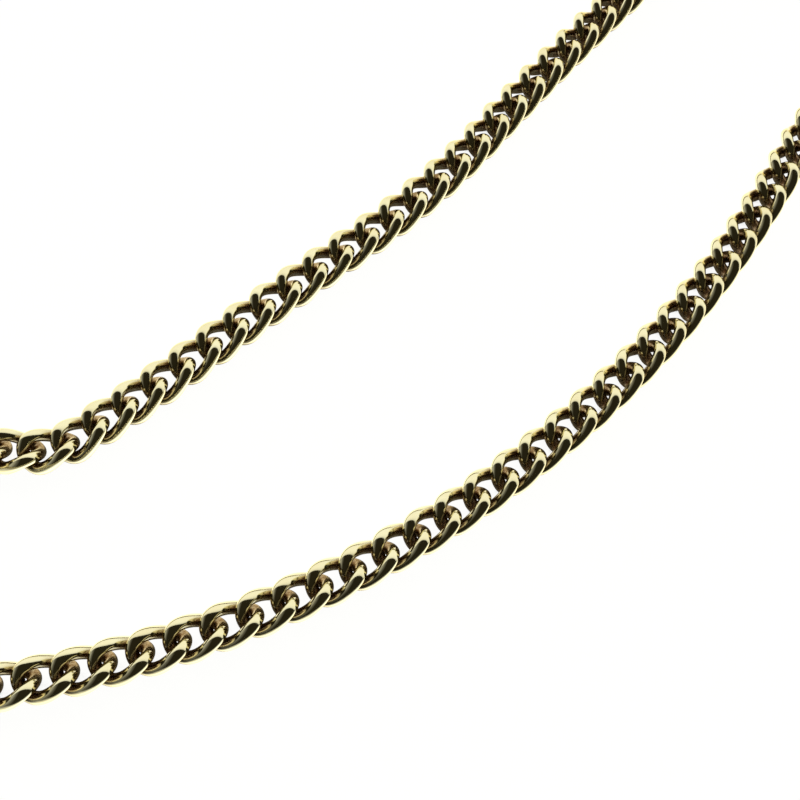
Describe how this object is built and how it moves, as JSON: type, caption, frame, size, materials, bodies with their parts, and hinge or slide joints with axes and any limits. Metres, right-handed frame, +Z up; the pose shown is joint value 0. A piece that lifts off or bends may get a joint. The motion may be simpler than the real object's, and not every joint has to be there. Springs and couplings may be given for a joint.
{
  "type": "pocket watch chain",
  "caption": "Curb-link watch chain of twisted round-wire links, with a spring swivel clip at one end and a T-bar at the other, laid in a folded curve.",
  "frame": {"origin": "middle of the floor rectangle that the laid-out chain covers, on the floor plane", "axes": "+Z up from the surface the chain lies on, +X to the right along the swivel clip, +Y away from the viewer, the fold of the chain at -X"},
  "size_m": [0.161, 0.1154, 0.0036],
  "materials": {
    "gold": "polished",
    "swivel_gold": "polished",
    "t_bar_gold": "polished",
    "spring_steel": "satin"
  },
  "bodies": {
    "links_01_02": {"links_01_02": "gold"},
    "links_03_04": {"links_03_04": "gold"},
    "links_05_06": {"links_05_06": "gold"},
    "links_07_08": {"links_07_08": "gold"},
    "links_09_10": {"links_09_10": "gold"},
    "links_11_12": {"links_11_12": "gold"},
    "links_13_14": {"links_13_14": "gold"},
    "links_15_16": {"links_15_16": "gold"},
    "links_17_18": {"links_17_18": "gold"},
    "links_19_20": {"links_19_20": "gold"},
    "links_21_22": {"links_21_22": "gold"},
    "links_23_24": {"links_23_24": "gold"},
    "links_25_26": {"links_25_26": "gold"},
    "links_27_28": {"links_27_28": "gold"},
    "links_29_30": {"links_29_30": "gold"},
    "links_31_32": {"links_31_32": "gold"},
    "links_33_34": {"links_33_34": "gold"},
    "links_35_36": {"links_35_36": "gold"},
    "links_37_38": {"links_37_38": "gold"},
    "links_39_40": {"links_39_40": "gold"},
    "links_41_42": {"links_41_42": "gold"},
    "links_43_44": {"links_43_44": "gold"},
    "links_45_46": {"links_45_46": "gold"},
    "links_47_48": {"links_47_48": "gold"},
    "links_49_50": {"links_49_50": "gold"},
    "links_51_52": {"links_51_52": "gold"},
    "links_53_54": {"links_53_54": "gold"},
    "links_55_56": {"links_55_56": "gold"},
    "links_57_58": {"links_57_58": "gold"},
    "links_59_60": {"links_59_60": "gold"},
    "links_61_62": {"links_61_62": "gold"},
    "links_63_64": {"links_63_64": "gold"},
    "links_65_66": {"links_65_66": "gold"},
    "links_67_68": {"links_67_68": "gold"},
    "links_69_70": {"links_69_70": "gold"},
    "links_71_72": {"links_71_72": "gold"},
    "links_73_74": {"links_73_74": "gold"},
    "links_75_76": {"links_75_76": "gold"},
    "links_77_78": {"links_77_78": "gold"},
    "links_79_80": {"links_79_80": "gold"},
    "links_81_82": {"links_81_82": "gold"},
    "links_83_84": {"links_83_84": "gold"},
    "links_85_86": {"links_85_86": "gold"},
    "swivel_jump_ring": {"swivel_jump_ring": "swivel_gold"},
    "swivel_eye": {"swivel_eye": "swivel_gold"},
    "swivel_hook": {"swivel_hook": "swivel_gold", "swivel_gate_pin": "swivel_gold", "swivel_gate_spring": "spring_steel"},
    "swivel_gate": {"swivel_gate": "swivel_gold"},
    "t_bar_jump_ring": {"t_bar_jump_ring": "t_bar_gold"},
    "t_bar_eye": {"t_bar_eye": "t_bar_gold"},
    "t_bar": {"t_bar_shaft": "t_bar_gold", "t_bar_stop_left": "t_bar_gold", "t_bar_stop_right": "t_bar_gold", "t_bar_ball_left": "t_bar_gold", "t_bar_ball_right": "t_bar_gold"}
  },
  "joints": [
    {"name": "links_45_46_flex", "type": "hinge", "parent": "links_47_48", "child": "links_45_46", "pos_m": [-0.0779, -0.04434, 0.00178], "axis": [-0.6043, -0.0561, 0.7948], "range_deg": [-30, 24]},
    {"name": "links_43_44_flex", "type": "hinge", "parent": "links_45_46", "child": "links_43_44", "pos_m": [-0.07437, -0.05073, 0.00178], "axis": [0.5078, 0.3323, -0.7948], "range_deg": [-8, 30]},
    {"name": "links_41_42_flex", "type": "hinge", "parent": "links_43_44", "child": "links_41_42", "pos_m": [-0.0696, -0.05417, 0.00178], "axis": [-0.1566, -0.5864, -0.7948], "range_deg": [-24, 30]},
    {"name": "links_39_40_flex", "type": "hinge", "parent": "links_41_42", "child": "links_39_40", "pos_m": [-0.06243, -0.05553, 0.00178], "axis": [-0.136, 0.5915, 0.7948], "range_deg": [-30, 24]},
    {"name": "links_37_38_flex", "type": "hinge", "parent": "links_39_40", "child": "links_37_38", "pos_m": [-0.05388, -0.05362, 0.00178], "axis": [0.1288, -0.5931, 0.7948], "range_deg": [-30, 30]},
    {"name": "links_35_36_flex", "type": "hinge", "parent": "links_37_38", "child": "links_35_36", "pos_m": [-0.04672, -0.05222, 0.00178], "axis": [-0.1142, 0.5961, -0.7948], "range_deg": [-30, 30]},
    {"name": "links_33_34_flex", "type": "hinge", "parent": "links_35_36", "child": "links_33_34", "pos_m": [-0.04098, -0.05113, 0.00178], "axis": [0.1453, -0.5893, -0.7948], "range_deg": [-30, 30]},
    {"name": "links_31_32_flex", "type": "hinge", "parent": "links_33_34", "child": "links_31_32", "pos_m": [-0.03391, -0.04931, 0.00178], "axis": [-0.183, 0.5787, 0.7948], "range_deg": [-30, 30]},
    {"name": "links_29_30_flex", "type": "hinge", "parent": "links_31_32", "child": "links_29_30", "pos_m": [-0.0256, -0.04654, 0.00178], "axis": [0.2016, -0.5725, 0.7948], "range_deg": [-30, 30]},
    {"name": "links_27_28_flex", "type": "hinge", "parent": "links_29_30", "child": "links_27_28", "pos_m": [-0.01886, -0.04374, 0.00178], "axis": [-0.2381, 0.5583, -0.7948], "range_deg": [-30, 30]},
    {"name": "links_25_26_flex", "type": "hinge", "parent": "links_27_28", "child": "links_25_26", "pos_m": [-0.01361, -0.04119, 0.00178], "axis": [0.2919, -0.5321, -0.7948], "range_deg": [-30, 30]},
    {"name": "links_23_24_flex", "type": "hinge", "parent": "links_25_26", "child": "links_23_24", "pos_m": [-0.00724, -0.03761, 0.00178], "axis": [-0.3265, 0.5116, 0.7948], "range_deg": [-30, 30]},
    {"name": "links_21_22_flex", "type": "hinge", "parent": "links_23_24", "child": "links_21_22", "pos_m": [0.00006, -0.03278, 0.00178], "axis": [0.3433, -0.5005, 0.7948], "range_deg": [-30, 30]},
    {"name": "links_19_20_flex", "type": "hinge", "parent": "links_21_22", "child": "links_19_20", "pos_m": [0.00585, -0.02833, 0.00178], "axis": [-0.3737, 0.4783, -0.7948], "range_deg": [-30, 30]},
    {"name": "links_17_18_flex", "type": "hinge", "parent": "links_19_20", "child": "links_17_18", "pos_m": [0.01029, -0.02454, 0.00178], "axis": [0.4135, -0.4442, -0.7948], "range_deg": [-30, 30]},
    {"name": "links_15_16_flex", "type": "hinge", "parent": "links_17_18", "child": "links_15_16", "pos_m": [0.01559, -0.01952, 0.00178], "axis": [-0.4384, 0.4197, 0.7948], "range_deg": [-30, 30]},
    {"name": "links_13_14_flex", "type": "hinge", "parent": "links_15_16", "child": "links_13_14", "pos_m": [0.02156, -0.01311, 0.00178], "axis": [0.4496, -0.4077, 0.7948], "range_deg": [-30, 30]},
    {"name": "links_11_12_flex", "type": "hinge", "parent": "links_13_14", "child": "links_11_12", "pos_m": [0.02621, -0.00749, 0.00178], "axis": [-0.471, 0.3828, -0.7948], "range_deg": [-30, 30]},
    {"name": "links_09_10_flex", "type": "hinge", "parent": "links_11_12", "child": "links_09_10", "pos_m": [0.02971, -0.00281, 0.00178], "axis": [0.5005, -0.3433, -0.7948], "range_deg": [-30, 30]},
    {"name": "links_07_08_flex", "type": "hinge", "parent": "links_09_10", "child": "links_07_08", "pos_m": [0.03381, 0.00323, 0.00178], "axis": [-0.5104, 0.3283, 0.7948], "range_deg": [-30, 30]},
    {"name": "links_05_06_flex", "type": "hinge", "parent": "links_07_08", "child": "links_05_06", "pos_m": [0.0385, 0.01063, 0.00178], "axis": [0.5153, -0.3207, 0.7948], "range_deg": [-30, 30]},
    {"name": "links_03_04_flex", "type": "hinge", "parent": "links_05_06", "child": "links_03_04", "pos_m": [0.04297, 0.01635, 0.00178], "axis": [-0.445, 0.4127, -0.7948], "range_deg": [-30, 26]},
    {"name": "links_01_02_flex", "type": "hinge", "parent": "links_03_04", "child": "links_01_02", "pos_m": [0.04808, 0.01924, 0.00178], "axis": [0.124, -0.5941, -0.7948], "range_deg": [-30, 26]},
    {"name": "links_49_50_flex", "type": "hinge", "parent": "links_47_48", "child": "links_49_50", "pos_m": [-0.07765, -0.03565, 0.00178], "axis": [-0.6, 0.0913, -0.7948], "range_deg": [-30, 24]},
    {"name": "links_51_52_flex", "type": "hinge", "parent": "links_49_50", "child": "links_51_52", "pos_m": [-0.07375, -0.02949, 0.00178], "axis": [0.4876, -0.3614, 0.7948], "range_deg": [-24, 30]},
    {"name": "links_53_54_flex", "type": "hinge", "parent": "links_51_52", "child": "links_53_54", "pos_m": [-0.06879, -0.02632, 0.00178], "axis": [-0.122, 0.5945, 0.7948], "range_deg": [-24, 30]},
    {"name": "links_55_56_flex", "type": "hinge", "parent": "links_53_54", "child": "links_55_56", "pos_m": [-0.06155, -0.02539, 0.00178], "axis": [-0.1703, -0.5825, -0.7948], "range_deg": [-30, 24]},
    {"name": "links_57_58_flex", "type": "hinge", "parent": "links_55_56", "child": "links_57_58", "pos_m": [-0.05308, -0.02759, 0.00178], "axis": [0.1345, 0.5918, -0.7948], "range_deg": [-30, 30]},
    {"name": "links_59_60_flex", "type": "hinge", "parent": "links_57_58", "child": "links_59_60", "pos_m": [-0.04583, -0.02846, 0.00178], "axis": [-0.0613, -0.6038, 0.7948], "range_deg": [-30, 14]},
    {"name": "links_61_62_flex", "type": "hinge", "parent": "links_59_60", "child": "links_61_62", "pos_m": [-0.04067, -0.0257, 0.00178], "axis": [-0.3711, 0.4802, 0.7948], "range_deg": [-30, 30]},
    {"name": "links_63_64_flex", "type": "hinge", "parent": "links_61_62", "child": "links_63_64", "pos_m": [-0.03493, -0.0212, 0.00178], "axis": [0.3925, -0.4629, -0.7948], "range_deg": [-30, 30]},
    {"name": "links_65_66_flex", "type": "hinge", "parent": "links_63_64", "child": "links_65_66", "pos_m": [-0.02831, -0.01546, 0.00178], "axis": [-0.4029, 0.4538, -0.7948], "range_deg": [-30, 30]},
    {"name": "links_67_68_flex", "type": "hinge", "parent": "links_65_66", "child": "links_67_68", "pos_m": [-0.02278, -0.01069, 0.00178], "axis": [0.395, -0.4608, 0.7948], "range_deg": [-30, 30]},
    {"name": "links_69_70_flex", "type": "hinge", "parent": "links_67_68", "child": "links_69_70", "pos_m": [-0.0183, -0.00695, 0.00178], "axis": [-0.3828, 0.471, 0.7948], "range_deg": [-30, 30]},
    {"name": "links_71_72_flex", "type": "hinge", "parent": "links_69_70", "child": "links_71_72", "pos_m": [-0.0126, -0.00239, 0.00178], "axis": [0.3966, -0.4594, -0.7948], "range_deg": [-30, 30]},
    {"name": "links_73_74_flex", "type": "hinge", "parent": "links_71_72", "child": "links_73_74", "pos_m": [-0.00608, 0.00346, 0.00178], "axis": [-0.4139, 0.4439, -0.7948], "range_deg": [-30, 30]},
    {"name": "links_75_76_flex", "type": "hinge", "parent": "links_73_74", "child": "links_75_76", "pos_m": [-0.00108, 0.00878, 0.00178], "axis": [0.4467, -0.4108, 0.7948], "range_deg": [-30, 30]},
    {"name": "links_77_78_flex", "type": "hinge", "parent": "links_75_76", "child": "links_77_78", "pos_m": [0.00259, 0.01332, 0.00178], "axis": [-0.4737, 0.3795, 0.7948], "range_deg": [-30, 30]},
    {"name": "links_79_80_flex", "type": "hinge", "parent": "links_77_78", "child": "links_79_80", "pos_m": [0.00717, 0.019, 0.00178], "axis": [0.467, -0.3877, -0.7948], "range_deg": [-30, 30]},
    {"name": "links_81_82_flex", "type": "hinge", "parent": "links_79_80", "child": "links_81_82", "pos_m": [0.0128, 0.02572, 0.00178], "axis": [-0.4636, 0.3917, -0.7948], "range_deg": [-30, 30]},
    {"name": "links_83_84_flex", "type": "hinge", "parent": "links_81_82", "child": "links_83_84", "pos_m": [0.01759, 0.03123, 0.00178], "axis": [0.4567, -0.3998, 0.7948], "range_deg": [-30, 30]},
    {"name": "links_85_86_flex", "type": "hinge", "parent": "links_83_84", "child": "links_85_86", "pos_m": [0.0215, 0.03557, 0.00178], "axis": [-0.446, 0.4116, 0.7948], "range_deg": [-30, 30]},
    {"name": "swivel_jump_ring_swing", "type": "hinge", "parent": "links_01_02", "child": "swivel_jump_ring", "pos_m": [0.05675, 0.02013, 0.00178], "axis": [0, 0.6069, -0.7948], "range_deg": [-30, 30]},
    {"name": "swivel_eye_swing", "type": "hinge", "parent": "swivel_jump_ring", "child": "swivel_eye", "pos_m": [0.05992, 0.02013, 0.00178], "axis": [0, 0.8192, 0.5736], "range_deg": [-40, 40]},
    {"name": "swivel_turn", "type": "hinge", "parent": "swivel_eye", "child": "swivel_hook", "pos_m": [0.06391, 0.02013, 0.00178], "axis": [1, 0, 0], "continuous": true},
    {"name": "swivel_gate_pivot", "type": "hinge", "parent": "swivel_hook", "child": "swivel_gate", "pos_m": [0.06851, 0.02173, 0.00178], "axis": [0, 0, 1], "range_deg": [-30, 0], "stiffness_Nm_per_rad": 0.0004, "springref_deg": 20.05},
    {"name": "t_bar_jump_ring_swing", "type": "hinge", "parent": "links_85_86", "child": "t_bar_jump_ring", "pos_m": [0.02747, 0.04198, 0.00178], "axis": [-0.4424, 0.4155, -0.7948], "range_deg": [-30, 30]},
    {"name": "t_bar_eye_swing", "type": "hinge", "parent": "t_bar_jump_ring", "child": "t_bar_eye", "pos_m": [0.02963, 0.04429, 0.00178], "axis": [-0.5971, 0.5607, 0.5736], "range_deg": [-40, 40]},
    {"name": "t_bar_turn", "type": "hinge", "parent": "t_bar_eye", "child": "t_bar", "pos_m": [0.03267, 0.04752, 0.00178], "axis": [-0.729, 0.6845, 0], "continuous": true}
  ]
}
